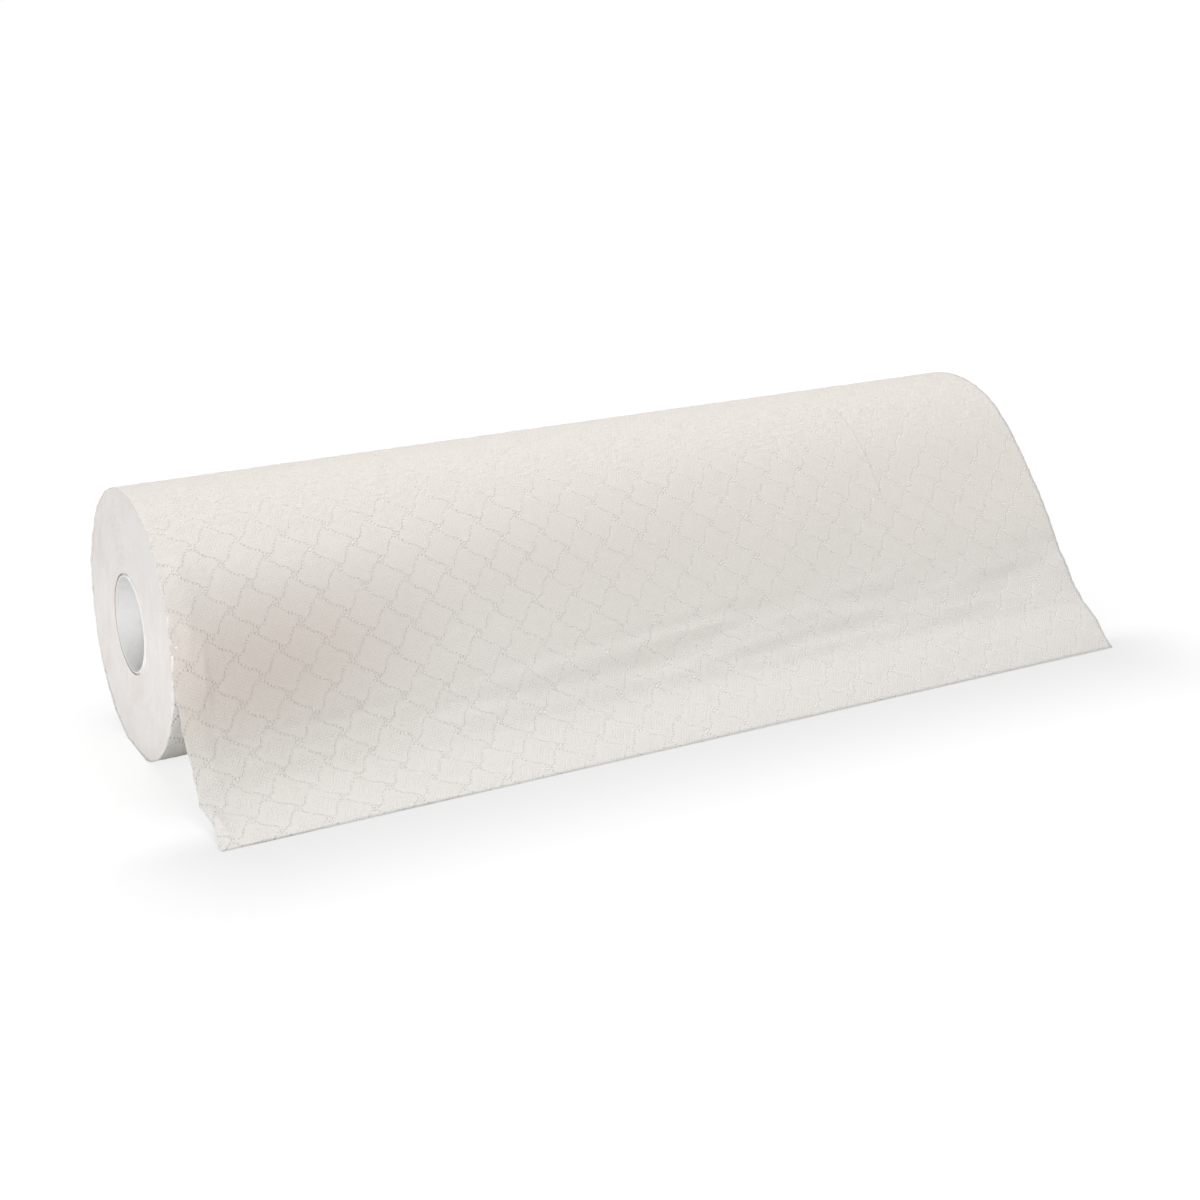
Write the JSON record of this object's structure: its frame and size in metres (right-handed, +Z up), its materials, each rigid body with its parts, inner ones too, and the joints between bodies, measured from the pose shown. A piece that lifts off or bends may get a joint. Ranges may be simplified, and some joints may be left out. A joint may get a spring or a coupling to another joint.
{
  "type": "exam table paper roll",
  "caption": "Wide roll of white embossed tissue on a cardboard core, lying on its side with the free end of the sheet hanging down its front to the table.",
  "frame": {"origin": "Middle of the flat spot under the roll, on the table, halfway along the roll", "axes": "X along the roll's axis, Z up, and the free end of the sheet hangs down towards -Y"},
  "size_m": [0.5, 0.1994, 0.127],
  "materials": {
    "tissue": "soft matt two-ply tissue with fine dotted embossing",
    "core_board": "matt spiral-wound board, pale inside, with a brown cut edge"
  },
  "bodies": {
    "root": {"paper_web": "tissue", "core_tube": "core_board"}
  },
  "joints": []
}
